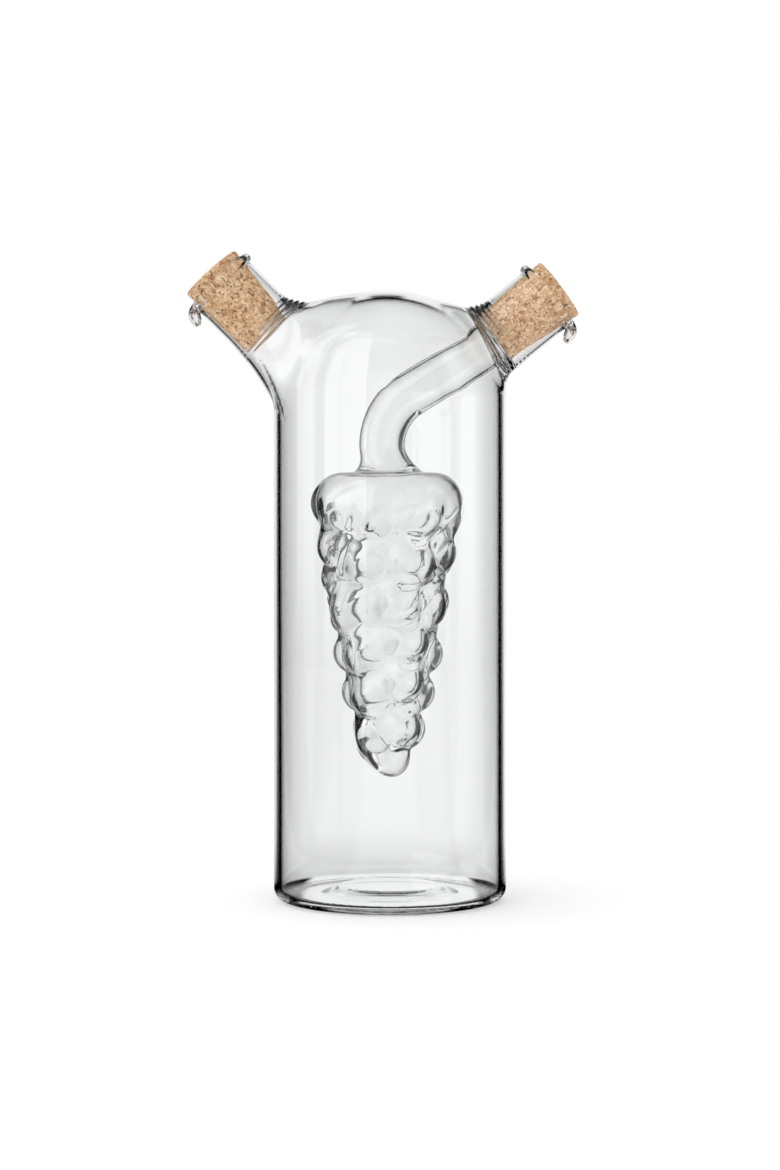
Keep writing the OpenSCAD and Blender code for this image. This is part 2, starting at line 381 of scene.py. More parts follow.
class StudioSettings(bpy.types.PropertyGroup):
    """The levels of the plain studio round the cruet."""

    backdrop: FloatProperty(
        name="Backdrop", description="Brightness of the backdrop that the glass shows",
        default=1.0, min=0)
    softbox: FloatProperty(
        name="Soft boxes", description="Brightness of the soft boxes", default=1.65, min=0)
    daylight: FloatProperty(
        name="Soft light", description="Level of the light that falls on the cork and floor",
        default=1.12, min=0)


def sizes():
    """The sizes in millimetres, as plain numbers."""
    p = bpy.context.scene.cruet_sizes
    return {
        "body_r": p.body_diameter / MM / 2, "crown": p.crown_height / MM,
        "body_wall": p.body_wall / MM, "neck_r": p.neck_diameter / MM / 2,
        "neck_wall": p.neck_wall / MM, "inner_wall": p.inner_wall / MM,
    }


OIL = Line((-48.2, 173.4), math.radians(45), -1, -22.4)
VINEGAR = Line((45.1, 169.3), math.radians(39), 1, -20.8)
SEAL = Line((27.7, 155.2), math.radians(32), 1, -1.2)
TUBE_R = 6.4
# the dome is part of a ball: its middle's x and its depth under the crown, and its radii
DOME_X, DOME_DROP, DOME_OUTER_R, DOME_INNER_R = -1.0, 36.2, 36.3, 34.3
# the two swellings' x, height, radius and the roundness of their root
SWELLINGS = ((-18.2, 152.1, 14.3, 6.8), (19.0, 151.9, 13.5, 4.3))
# the oil neck widens on an arc, from a place along it and for a length
FLARE_FROM, FLARE_R, FLARE_RUN = -13.7, 68.0, 27.0
NET_STEP = 1.0
# the stack of fused rings: its middle's place above the cut, the step along it, and its end
RING_MIDDLE, RING_STEP, RINGS_TOP = 2.4, 0.16, -14


# ---- glass bottle


def foot_profile(rho, z, radius, heel, low):
    """Distance to an upright wall that turns in to a flat foot with a round heel."""
    a = rho - (radius - heel)
    b = (low + heel) - z
    out = np.sqrt(np.maximum(a, 0) ** 2 + np.maximum(b, 0) ** 2)
    return out + np.minimum(np.maximum(a, b), 0) - heel


def push_up(rho):
    """How far the middle of the bottle's floor is pushed up: a low round boss."""
    return 2.0 * (1 - ease((rho - 13.5) / 6))


def root(line, p, off, low, high):
    """How round a neck's root is: sharp under the neck and soft on its other sides."""
    cosine = ((p - line.point) @ line.under) / np.maximum(off, 1e-6)
    return low + (high - low) * np.clip(4 * (1 - cosine) - 0.24, 0, 1)


def under_dome(wall, p, radius, shoulder, soft):
    """The upright wall closed by the dome, with a rounded shoulder from its height up."""
    x, y, z = p[..., 0], p[..., 1], p[..., 2]
    middle = sizes()["crown"] - DOME_DROP
    dome = np.sqrt((x - DOME_X) ** 2 + y ** 2 + (z - middle) ** 2) - radius
    body = smooth_max(dome, wall, 0.01 + soft * ease((z - shoulder + 4) / 20))
    return np.where(z < shoulder - 4, wall, body)


def swell(total, p, inset):
    """Joins the two swellings below the necks to the body."""
    for at, height, radius, soft in SWELLINGS:
        away = np.sqrt((p[..., 0] - at) ** 2 + p[..., 1] ** 2 + (p[..., 2] - height) ** 2)
        total = smooth_min(total, away - radius + inset, soft)
    return total


def add_oil_neck(total, p, radius, low, high):
    """Joins the oil neck, straight at its mouth and wider towards the body, to the body."""
    along, off = OIL.reach(p)
    flare = FLARE_R - np.sqrt(FLARE_R ** 2 - np.clip(FLARE_FROM - along, 0, FLARE_RUN) ** 2)
    neck = smooth_max(off - radius - flare, -(along + 40), 2)
    return smooth_min(total, neck, root(OIL, p, off, low, high))


def bottle_outside():
    """The bottle's outer skin as a function of space, negative within.

    A domed cylinder with a round heel and a pushed-up floor takes two swellings and two necks,
    each joined by a rounded least.
    """
    s = sizes()

    def field(p):
        z = p[..., 2]
        rho = np.sqrt(p[..., 0] ** 2 + p[..., 1] ** 2)
        wall = foot_profile(rho, z, s["body_r"], 4.0, 0.0)
        body = under_dome(wall, p, DOME_OUTER_R, s["crown"] - s["body_r"], 7)
        kick = smooth_max(z - 0.8 - push_up(rho), rho - 26.5, 1.5)
        total = swell(smooth_max(body, -kick, 1.2), p, 0.0)
        total = add_oil_neck(total, p, s["neck_r"], 0.5, 6.0)
        along, off = VINEGAR.reach(p)
        neck = smooth_max(off - s["neck_r"], -(along + 36), 2)
        return smooth_min(total, neck, root(VINEGAR, p, off, 2.0, 3.6))

    return field


def chamber():
    """The oil chamber's own skin, negative in the air of the chamber.

    It follows the bottle's outside a wall's thickness in, runs out along the oil neck's bore,
    and is closed on the right by the plate and the cone of glass round the inner tube.
    """
    s = sizes()
    inner_r = s["body_r"] - s["body_wall"]
    top = s["crown"] - 2.0 - inner_r
    bore = s["neck_r"] - s["neck_wall"]

    def field(p):
        z = p[..., 2]
        # the wall is drawn thinner towards the top, most on the oil side
        drawn = ease((z - 20) / 100)
        rho = np.sqrt((p[..., 0] + 0.1 * drawn) ** 2 + p[..., 1] ** 2)
        wall = foot_profile(rho, z, inner_r + 0.2 * drawn, 2.3, 1.8)
        body = under_dome(wall, p, DOME_INNER_R, top, 6)
        total = swell(smooth_max(body, 2.2 + push_up(rho) - z, 0.6), p, 1.0)
        total = add_oil_neck(total, p, bore, 0.7, 5.0)
        along, off = SEAL.reach(p)
        cone = TUBE_R + 0.1 + (11.0 - TUBE_R) * ease((along - SEAL.cut) / 2.4)
        tube = smooth_max(off - cone, -(along + 9), 0.5)
        closed = smooth_min(tube, 0.6 - along, 1.4)
        return smooth_max(total, -closed, 0.8)

    return field


def net_axes():
    """Grid lines in x, y and z: even, but far apart in z along the straight wall."""
    low = np.arange(-1.5, 14, NET_STEP)
    high = np.arange(108, 172.6, NET_STEP)
    wall = np.concatenate([low[-1] + np.array([2.0, 5.0]), np.linspace(24, 102, 12), [105.5]])
    return (
        np.arange(-44.3, 42, NET_STEP), np.arange(-33.6, 34, NET_STEP),
        np.concatenate([low, wall, high]),
    )


def mouth_profiles(neck_r, bore_r):
    """Two closed mouths as (radius, place along the neck): a rolled bead, and a pour lip.

    Both run from the neck's outside over the mouth into its bore with the same number of points
    in the same stretches, so that one can turn into the other round the neck.
    """
    bead_r = 1.35
    bead_c = (neck_r, -bead_r)
    curl = (neck_r + 0.3, -3.6)
    tip_r = 0.9
    tip_c = (curl[0] + 3.6 - tip_r, -4.4)
    bead = [
        np.array([[neck_r, -9.0], [neck_r, -3.4]]),
        arc(bead_c, bead_r, -88, -30, 8),
        arc(bead_c, bead_r, -30, 40, 8),
        arc(bead_c, bead_r, 40, 120, 8),
        np.array([[bore_r + 0.12, -1.1], [bore_r, -3.0]]),
    ]
    under = arc(curl, 1.3, 100, 0, 8)
    lip = [
        np.array([[neck_r, -9.0], [neck_r - 0.02, -3.1]]),
        np.concatenate([under, [[under[-1][0], tip_c[1]]]]),
        arc(tip_c, tip_r, 180, 360, 8),
        np.concatenate([[[tip_c[0] + tip_r, curl[1]]], arc(curl, 3.6, 10, 104, 9)]),
        np.array([[bore_r + 0.1, -0.9], [bore_r, -3.6]]),
    ]
    counts = (8, 14, 14, 22, 6)
    made = []
    for parts in (bead, lip):
        path = [even_run(part, n) for part, n in zip(parts, counts)]
        made.append(np.concatenate(path))
    return made


def neck_grid(line, neck_r, bore_r, seed, sides=144):
    """A neck's skin from the cut on its outside, over its mouth and back down its bore.

    The profile turns about the neck's axis, its mouth fades from the bead into the pour lip by
    the angle from the neck's underside, and a stack of fused rings swells its root.
    """
    turn = np.arange(sides) * TAU / sides
    bead, lip = mouth_profiles(neck_r, bore_r)
    away = np.abs((turn + math.pi) % TAU - math.pi)
    weight = 1 - ease((away - math.radians(13)) / math.radians(20))
    profile = bead[:, None] + (lip - bead)[:, None] * weight[None, :, None]
    first = line.cut + 0.5
    outer_along = np.concatenate([
        np.arange(first, RINGS_TOP, RING_STEP), np.linspace(RINGS_TOP, -9.4, 8)])
    inner_along = np.concatenate([np.linspace(-4.4, -14, 12), np.arange(-14.2, first - 0.1, -0.2)])
    inner_along = np.append(inner_along, first)

    def stretch(radius, along):
        grid = np.zeros((len(along), sides, 2))
        grid[..., 0] = radius
        grid[..., 1] = along[:, None]
        return grid

    rings = np.concatenate([
        stretch(neck_r, outer_along), profile, stretch(bore_r, inner_along)])
    radius, along = rings[..., 0], rings[..., 1]
    outside = np.arange(len(radius)) < len(outer_along)
    inside = np.arange(len(radius)) >= len(outer_along) + len(bead)
    across = np.cos(turn)[:, None] * line.under + np.sin(turn)[:, None] * line.wide
    for part, field, least in ((outside, bottle_outside(), neck_r), (inside, chamber(), bore_r)):
        if part is inside and line is VINEGAR:
            continue
        axis = line.point + along[part][..., None] * line.out
        reach = np.full(axis.shape[:2], least + 5.0)
        for _ in range(40):
            reach -= 0.7 * field(axis + reach[..., None] * across)
        reach = np.clip(reach, least, least + 5)
        radius[part] = least + (reach - least) * ease((-13.5 - along[part]) / 2)
    upper = 0.5 - 0.5 * np.cos(turn)
    middle = line.cut + RING_MIDDLE
    stack = np.exp(-((along - middle) / 2.5) ** 2) * ease((along - line.cut) / 1.2)
    waves = np.cos(TAU * (along - middle) / 1.35 + 0.9 * np.sin(2 * turn + seed))
    swing = 0.04 + (0.36 if line is OIL else 0.25) * ease((upper - 0.3) / 0.25)
    radius[outside] += (stack * swing * waves + 0.4 * stack * upper)[outside]
    radius[inside] -= (0.16 * stack * upper * (1 + waves))[inside]
    radius = radius + 0.03 * ripple(turn[None], along, seed)
    points = line.point + along[..., None] * line.out + radius[..., None] * across
    return points, turn


def funnel_rings(bore_r, tube_bore, sides, turn):
    """The bore from the vinegar neck's cut through the funnel to the start of the tube.

    Rings are carried along a path that turns from the neck's slope to the tube's. Their radius
    falls gently at first, and then fast, where the tube was fused in.
    """
    count = 40
    t = np.linspace(0, 1, count)
    start = VINEGAR.point + (VINEGAR.cut + 0.5) * VINEGAR.out
    end = SEAL.point + SEAL.cut * SEAL.out
    length = np.linalg.norm(end - start)
    h = ease(t)[:, None]
    one = start - VINEGAR.out * (t * length)[:, None]
    two = end + SEAL.out * ((1 - t) * length)[:, None]
    centre = one * (1 - h) + two * h
    out = unit(VINEGAR.out * (1 - h) + SEAL.out * h)
    under = np.cross(out, np.array([0.0, 1.0, 0.0]))
    under = under * np.sign((under * VINEGAR.under).sum(-1, keepdims=True))
    radius = bore_r - 0.9 * ease(t / 0.5)
    radius = radius - (radius[-1] - tube_bore) * ease((t - 0.5) / 0.5)
    across = (
        np.cos(turn)[None, :, None] * under[:, None]
        + np.sin(turn)[None, :, None] * VINEGAR.wide
    )
    return centre[:, None] + radius[:, None, None] * across


def build_bottle(materials):
    """Both skins from their fields, cut square at the necks and joined to the necks' grids."""
    s = sizes()
    bore_r = s["neck_r"] - s["neck_wall"]
    tube_bore = TUBE_R - s["inner_wall"]
    skin = Skin()
    loops = {}
    for kind, sign, shape, cuts in (
        (OUTER, 1, bottle_outside(), ((OIL, 18), (VINEGAR, 14))),
        (INNER, -1, chamber(), ((OIL, 17), (SEAL, 7.6))),
    ):
        def field(p, sign=sign, shape=shape):
            return sign * shape(p)

        points, fours = surface_net(field, net_axes())
        threes = np.zeros((0, 3), int)
        for line, near in cuts:
            faces = threes.tolist() + fours.tolist()
            points, threes, fours = trim(points, faces, line, line.cut, near, line is not SEAL)
        normals = slope(field, points)
        first = skin.add(points, normals)
        for faces in (threes, fours):
            # the inner floor takes the outer face's glass, which has no painted edge shade, so
            # that it is clear right across
            middle = points[faces].mean(1)
            clear = (middle[:, 2] < 4.6) & (np.hypot(middle[:, 0], middle[:, 1]) < 28.4)
            skin.face(faces[~clear] + first, kind)
            skin.face(faces[clear] + first, OUTER)
        for line, _ in cuts:
            index, turn = edge_loop(points, threes, fours, line, line.cut)
            loops[kind, id(line)] = (index + first, turn)
    for line, seed in ((OIL, 3), (VINEGAR, 11)):
        points, turn = neck_grid(line, s["neck_r"], bore_r, seed)
        if line is VINEGAR:
            points = np.concatenate([points, funnel_rings(bore_r, tube_bore, len(turn), turn)[1:]])
        index = skin.grid(points, OUTER, flip=line is OIL)
        # the fused rings on the outside, save under the neck, take a glass with a strong painted
        # edge shade, which darkens them at all but face-on angles
        along, _ = line.reach(points)
        rings = (np.abs(along - line.cut - RING_MIDDLE) < 3.4) & (np.cos(turn) < 0.45)
        rings &= np.arange(len(points))[:, None] < (RINGS_TOP - line.cut) / RING_STEP
        skin.kinds[-1] = np.where(rings[:-1], RINGS, OUTER).ravel()
        low, low_turn = loops[OUTER, id(line)]
        skin.strip(low, index[0], low_turn, turn, OUTER, flip=line is OIL)
        if line is OIL:
            high, high_turn = loops[INNER, id(OIL)]
            skin.strip(index[-1], high, turn, high_turn, INNER, flip=True)
        else:
            high, high_turn = loops[INNER, id(SEAL)]
            skin.strip(index[-1], high, turn, high_turn, CUT)
    return skin.piece("bottle", materials, flat=(CUT,))


# ---- grape-shaped inner vessel

# each row's height, a berry's radius, and for each berry its angle and how far it sits off
# the row's height; angle 0 faces the viewer of the front, and 90 the vinegar side
ROWS = (
    (107.4, 6.3, ((28, 0), (70, -0.4), (110, 0.5), (150, -0.6), (190, 0.4), (230, -0.8),
                  (272, 3.0), (310, 1.0), (349, -0.5))),
    (94.9, 6.3, ((24, -0.2), (68, 2.4), (112, 0.6), (155, -0.8), (200, 0.5), (245, -1.0),
                 (290, 3.6), (340, -0.4))),
    (83.0, 6.2, ((11, 0.2), (60, -0.8), (108, 0.5), (156, 0.9), (204, -0.7), (250, 1.4),
                 (268, 7.2), (306, -2.3))),
    (70.9, 6.0, ((25, 1.9), (86, -2.0), (140, 0.6), (195, -0.8), (250, 8.0), (272, -1.6),
                 (326, -2.3))),
    (59.4, 5.8, ((24, 2.2), (86, -1.2), (140, 0.6), (200, -0.8), (262, -1.2), (331, -2.5))),
    (47.6, 5.8, ((30, 0.9), (92, 0.3), (165, -0.6), (238, 0.8), (317, -1.4))),
)
# the tip's berries: x, y, height and radius of each
TIP_BERRIES = ((1.3, 0.0, 39.0, 4.4), (-3.4, 0.0, 43.6, 5.4))
TIP = 34.6
CLUSTER_TOP = 119.6
CLUSTER_X = -0.5
# the cluster's round shoulder is part of a ring: its height, its radius and its thickness's half
RIM_Z, RIM_R, RIM_HALF = 111.7, 12.9, 7.9


def belly(z):
    """Radius of the cluster's outline at a height: a paraboloid about its own axis."""
    return 21.3 * np.maximum((z - TIP + 1.7) / (109.0 - TIP + 1.7), 1e-3) ** 0.44


def berries():
    """Centre and radius of every berry, whose sizes differ by a seeded draw."""
    rng = np.random.default_rng(5)
    made = list(TIP_BERRIES)
    for height, radius, row in ROWS:
        for at, (angle, lift) in enumerate(row):
            size = radius * rng.uniform(0.95, 1.05)
            a, z = math.radians(angle), height + lift
            # the first berry of a row stands out to the front
            ring = belly(z) - size + (0.4 if at else 2.3) * max(math.cos(a), 0)
            made.append((ring * math.sin(a), -ring * math.cos(a), z, size))
    return np.array(made)


def cluster_field(shrink, blend):
    """The cluster as a function of space: berries and a core, joined by a rounded least."""
    lumps = berries()

    def field(p):
        # the glass ran thicker at the lower right, so the inner skin lies to the upper left
        drift = min(shrink, 0.25)
        q = p - np.array([CLUSTER_X - drift, 0, drift])
        rho = np.sqrt(q[..., 0] ** 2 + q[..., 1] ** 2)
        z = q[..., 2]
        core = (rho - np.maximum(belly(np.minimum(z, 109)) - 2.6, 1.0)) * 0.9
        core = smooth_max(core, -(z - TIP - 1.2), 2)
        ring = np.sqrt((rho - RIM_R) ** 2 + (z - RIM_Z) ** 2) - RIM_HALF
        disc = np.maximum(rho - RIM_R, np.abs(z - RIM_Z) - RIM_HALF)
        top = np.where(rho < RIM_R, disc, ring)
        core = smooth_max(core, z - 112, 2)
        total = smooth_min(core, top, 3)
        for at, (x, y, zc, r) in enumerate(lumps):
            ball = np.sqrt((q[..., 0] - x) ** 2 + (q[..., 1] - y) ** 2 + (z - zc) ** 2) - r
            # the front berries are sharp at their lower right and run out at their upper left
            lean = (0.6 * (q[..., 0] - x) - 0.8 * (z - zc)) / r
            soft = 4.5 * np.clip(0.5 - lean, 0, 1) if y < -4 and not shrink else 0
            soft = 2.5 if at < len(TIP_BERRIES) else soft
            total = smooth_min(total, ball, blend + soft)
        return total + shrink * (0.75 + 0.4 * ease((100 - z) / 40))

    return field


def cluster_rings(shrink, blend, rings, sides):
    """Where rays from the cluster's axis leave it: ring i sets a ray's start and rise.

    The rays start on the axis and fan up at the shoulder and down at the tip, and each is
    marched inward by the field's own value until it meets the skin.
    """
    t = np.linspace(0, 1, rings)
    rise = np.interp(t, [0, 0.12, 0.86, 1], [46, 6, -14, -90])
    start = np.interp(t, [0, 0.12, 0.9, 1], [109, 108, 44.5, 41.5])
    rise = np.radians(rise)[:, None]
    turn = (np.arange(sides) * TAU / sides)[None]
    way = np.stack([
        np.cos(rise) * np.sin(turn), -np.cos(rise) * np.cos(turn),
        np.sin(rise) * np.ones_like(turn)], -1)
    begin = np.zeros((rings, 1, 3))
    begin[..., 0] = CLUSTER_X
    begin[..., 2] = start[:, None]
    field = cluster_field(shrink, blend)
    reach = np.full((rings, sides), 30.0)
    for _ in range(60):
        reach -= 0.8 * field(begin + reach[..., None] * way)
    points = begin + reach[..., None] * way
    normals = slope(field, points, 0.05)
    return points, normals


def tube_rings(radius_in, sides):
    """The tube from the seal down to the cluster: rings square to a path with one round bend."""
    bend_r, tilt, tube_x = 17.0, math.radians(32), 2.2
    sweep = math.pi / 2 - tilt
    corner_z = SEAL.point[2] - (SEAL.point[0] + tube_x) * math.tan(tilt)
    low_z = corner_z - bend_r * math.tan(sweep / 2)
    start = SEAL.point + SEAL.cut * SEAL.out
    lean = np.linspace(sweep, 0, 34)
    bend = np.stack([bend_r * (1 - np.cos(lean)) - tube_x, low_z + bend_r * np.sin(lean)], 1)
    first = np.linspace(start[[0, 2]], bend[0], 14)[:-1]
    path = np.concatenate([first, bend])
    angle = np.concatenate([np.full(len(first), sweep), lean])
    radius = np.full(len(path), TUBE_R)
    drop = np.linspace(0, 1, 22)[1:]
    end_z = CLUSTER_TOP + 0.3
    flare = np.stack([
        -tube_x + (tube_x + CLUSTER_X) * ease(drop), low_z + (end_z - low_z) * drop], 1)
    path = np.concatenate([path, flare])
    angle = np.concatenate([angle, np.zeros(len(flare))])
    radius = np.concatenate([radius, TUBE_R + 3.0 * drop ** 2.6])
    radius = radius - radius_in
    turn = np.arange(sides) * TAU / sides
    # the bend's inner side is thick and its outer side is drawn thin
    count = len(path)
    thick = 0.47 * ease((np.arange(count) - 10) / 8) * ease((count - 1 - np.arange(count)) / 4)
    shift = thick * (radius_in > 0)
    wide = np.sin(turn)[None] * radius[:, None] - shift[:, None]
    points = np.zeros((len(path), sides, 3))
    points[..., 0] = path[:, :1] + wide * np.cos(angle)[:, None]
    points[..., 1] = -np.cos(turn)[None] * radius[:, None]
    points[..., 2] = path[:, 1:] - wide * np.sin(angle)[:, None]
    return points


def build_grapes(materials):
    """The inner vessel's two skins: tube, crease and cluster, a constant wall apart."""
    s = sizes()
    sides, rings = 180, 170
    skin = Skin()
    ends = []
    for kind, shrink, blend in ((OUTER, 0.0, 0.7), (INNER, s["inner_wall"], 3.6)):
        cluster, normals = cluster_rings(shrink, blend, rings, sides)
        tube = tube_rings(shrink, sides)
        points = np.concatenate([tube, cluster])
        pole = points[-1, :1]
        points = points[:-1]
        index = skin.grid(points, kind, flip=kind == OUTER)
        # the cluster's own normals come from its field, save those of the two rings at its top
        all_normals = skin.normals[-1].reshape(points.shape)
        sign = 1 if kind == OUTER else -1
        all_normals[len(tube) + 2:] = (sign * unit(normals))[2:-1]
        skin.normals[-1] = all_normals.reshape(-1, 3)
        tip = skin.add(pole, np.array([[0.0, 0.0, -sign]]))
        fan = np.stack([index[-1], np.roll(index[-1], -1), np.full(sides, tip)], -1)
        skin.face(fan if kind == INNER else fan[:, ::-1], kind)
        ends.append(index[0])
    low, high = ends
    quad = np.stack([low, np.roll(low, -1), np.roll(high, -1), high], -1)
    skin.face(quad, CUT)
    return skin.piece("grape_vessel", materials, flat=(CUT,))


# ---- corks


def value_noise(p, seed, cell):
    """Smooth seeded noise from -1 to 1: random numbers on a lattice, eased between."""
    rng = np.random.default_rng(seed)
    table = rng.uniform(-1, 1, (32, 32, 32))
    q = p / cell
    base = np.floor(q).astype(int)
    f = ease(q - base)
    total = 0
    for dx in (0, 1):
        for dy in (0, 1):
            for dz in (0, 1):
                w = (
                    np.abs(1 - dx - f[..., 0]) * np.abs(1 - dy - f[..., 1])
                    * np.abs(1 - dz - f[..., 2]))
                total = total + w * table[
                    (base[..., 0] + dx) % 32, (base[..., 1] + dy) % 32, (base[..., 2] + dz) % 32]
    return total


def build_cork(name, line, lean, seed, material):
    """A tapered cork: a bevelled profile turned about its axis, pressed with crumbs and pits."""
    s = sizes()
    length, stands_out, edge, taper = 23.5, 3.0, 0.55, math.radians(4)
    mouth = s["neck_r"] - s["neck_wall"] - 0.14
    low = mouth - (length - stands_out) * math.tan(taper)
    top = mouth + stands_out * math.tan(taper)
    a, b = stands_out - length, stands_out
    corner = np.concatenate([
        [[0.02, a]], [[low - edge, a]],
        arc((low - edge, a + edge), edge, -90, 0, 5)[1:-1], [[low, a + edge]],
        [[top, b - edge]], arc((top - edge, b - edge), edge, 0, 90, 5)[1:], [[0.02, b]],
    ])
    path = even_run(corner, 230)
    sides = 200
    turn = np.arange(sides) * TAU / sides
    angle = line.rise + lean
    out = np.array([line.side * math.cos(angle), 0, math.sin(angle)])
    under = np.array([line.side * math.sin(angle), 0, -math.cos(angle)])
    across = np.cos(turn)[:, None] * under + np.sin(turn)[:, None] * np.array([0.0, 1.0, 0.0])
    points = line.point + path[:, None, 1:] * out + path[:, None, :1] * across[None]
    step = np.gradient(points, axis=0)
    round_ = np.roll(points, -1, 1) - np.roll(points, 1, 1)
    normal = unit(np.cross(round_, step)) * line.side
    crumbs = value_noise(points, seed, 0.9) + 0.6 * value_noise(points, seed + 1, 0.45)
    pits = ease((value_noise(points, seed + 2, 0.7) - 0.42) / 0.3)
    inward = 0.05 + 0.035 * crumbs + 0.34 * pits
    inward[[0, -1]] = inward[[0, -1]].mean()
    points = points - normal * np.clip(inward, 0, 0.5)[..., None]
    skin = Skin()
    index = skin.grid(points, 0, flip=line.side < 0)
    for ring, flip in ((index[0], line.side > 0), (index[-1], line.side < 0)):
        middle = skin.add(np.concatenate(skin.points)[ring].mean(0)[None], np.array([[0, 0, 1.0]]))
        tri = np.stack([ring, np.roll(ring, -1), np.full(sides, middle)], 1)
        skin.face(tri[:, ::-1] if flip else tri)
    return skin.piece(name, [material])


# ---- materials


GLASS_IOR = 1.47
# cells a metre in the crumb pattern, about 1 mm each
CRUMBS = 980.0


def linear(hex_colour):
    """A written sRGB colour as linear light."""
    raw = [int(hex_colour[i:i + 2], 16) / 255 for i in (1, 3, 5)]
    return [c / 12.92 if c <= 0.04045 else ((c + 0.055) / 1.055) ** 2.4 for c in raw] + [1.0]


def node(tree, kind, *values, stops=(), **named):
    """Adds a shader node and gives its inputs a number, a colour or another node's output.

    Values fill its first inputs in order. A name with a capital is an input and any other is
    one of the node's settings. Stops are a ramp's places, each with a grey or a hex colour.
    """
    made = tree.nodes.new("ShaderNode" + kind)
    for key in [k for k in named if k[0].islower()]:
        setattr(made, key, named.pop(key))
    for key, value in (*enumerate(values), *named.items()):
        socket = made.inputs[key if isinstance(key, int) else key.replace("_", " ")]
        if isinstance(value, bpy.types.NodeSocket):
            tree.links.new(value, socket)
        else:
            socket.default_value = value
    if stops:
        elements = made.color_ramp.elements
        elements.remove(elements[1])
        for i, (at, shade) in enumerate(stops):
            element = elements.new(at) if i else elements[0]
            element.position = at
            element.color = linear(shade) if isinstance(shade, str) else (*[shade] * 3, 1)
    return made.outputs


def blank_material(name):
    """A material without nodes, and the function that adds them to it."""
    material = bpy.data.materials.new(name)
    material.use_nodes = True
    material.node_tree.nodes.clear()
    return material, partial(node, material.node_tree)


def glass_material(name, painted_edge_shade, draw_height, low=0.15, high=0.45, draw_scale=180.0):
    """Clear flame-worked borosilicate: colourless, IOR 1.47, with a faint draw in its skin.

    Where light leaves at a low angle the real glass shows its dark surroundings. That shade is
    painted into the colour, which falls with the Fresnel share, from low to high, by the
    strength of the painted edge shade.
    """
    material, add = blank_material(name)
    tint = bpy.context.scene.cruet_sizes.glass_tint
    share = add("Fresnel", IOR=GLASS_IOR)[0]
    # painted edge shade: how far the colour is darkened towards black at this angle
    fade = add("MapRange", share, low, high, 0.0, painted_edge_shade, interpolation_type="SMOOTHSTEP")[0]
    colour = add("Mix", data_type="RGBA", Factor=fade, A=(*tint, 1), B=(0, 0, 0, 1))["Result"]
    # the draw runs upward, in waves of 2 to 6 mm
    where = add("Mapping", add("TexCoord")["Object"], Scale=(1, 1, 0.35))[0]
    draw = add("TexNoise", where, Scale=draw_scale, Detail=2.0, Roughness=0.4)[0]
    bump = add("Bump", Height=draw, Strength=1.0, Distance=draw_height)[0]
    glass = add("BsdfPrincipled", colour, Normal=bump, Roughness=0.0, IOR=GLASS_IOR,
                Transmission_Weight=1.0)
    add("OutputMaterial", glass[0])
    return material


def cork_material():
    """Agglomerated cork: crumbs of bark about 1 mm across pressed together, matt, unsealed.

    Each crumb has its own tan, darker bark shows between them, and a few are near black.
    """
    material, add = blank_material("agglomerated_cork")
    where = add("TexCoord")["Object"]
    # the crumbs' outlines wander by up to 0.5 mm, so that none looks cut straight
    wobble = add("TexNoise", where, Scale=900.0, Detail=3.0, Roughness=0.6)["Color"]
    shift = add("VectorMath", wobble, operation="SCALE", Scale=0.0009)[0]
    place = add("VectorMath", where, shift, operation="ADD")[0]
    crumb = add("TexVoronoi", place, Scale=CRUMBS)["Color"]
    tan = add("ValToRGB", add("SeparateColor", crumb)[0], stops=(
        (0.0, "#B0835C"), (0.07, "#C99E76"), (0.3, "#DDB58C"), (0.6, "#E6C29C"), (1.0, "#F0D3B0")))
    # the bark's own grain, of about 0.4 mm
    fine = add("TexNoise", where, Scale=2400.0, Detail=4.0, Roughness=0.65)[0]
    shade = add("ValToRGB", fine, stops=((0.32, "#CDB49C"), (0.56, 1.0)))[0]
    colour = add("Mix", data_type="RGBA", blend_type="MULTIPLY", Factor=0.8, A=tan[0], B=shade)
    # one small cell in ten is a dark speck of bark
    speck = add("SeparateColor", add("TexVoronoi", place, Scale=2300.0)["Color"])[1]
    rare = add("MapRange", speck, 0.87, 0.93, 0.0, 0.8)[0]
    colour = add("Mix", data_type="RGBA", Factor=rare, A=colour["Result"], B=linear("#4E3322"))
    gap = add("TexVoronoi", place, feature="DISTANCE_TO_EDGE", Scale=CRUMBS)[0]
    joint = add("MapRange", gap, 0.0, 0.09, 0.3, 0.0)[0]
    colour = add("Mix", data_type="RGBA", Factor=joint, A=colour["Result"], B=linear("#7A5639"))
    relief = add("Math", gap, fine, operation="ADD")[0]
    bump = add("Bump", Height=relief, Strength=0.5, Distance=0.0002)[0]
    cork = add("BsdfPrincipled", colour["Result"], Normal=bump, Roughness=0.85, IOR=1.4,
               Specular_IOR_Level=0.3)
    add("OutputMaterial", cork[0])
    return material


def product(add, first, *others):
    """Values multiplied together, as nodes."""
    for other in others:
        first = add("Math", first, other, operation="MULTIPLY")[0]
    return first


def greatest(add, first, *others):
    """The greatest of some values, as nodes."""
    for other in others:
        first = add("Math", first, other, operation="MAXIMUM")[0]
    return first


def bearing(add, x, y):
    """Degrees round from straight behind the cruet, to the right, as nodes."""
    return add("Math", add("Math", x, y, operation="ARCTAN2")[0], operation="DEGREES")[0]


def window(add, value, low, high, soft):
    """1 between two limits and 0 beyond them, with soft edges, as nodes."""
    sides = [
        add("MapRange", value, a, b, interpolation_type="SMOOTHSTEP")[0]
        for a, b in ((low - soft, low + soft), (high + soft, high - soft))
    ]
    return product(add, *sides)


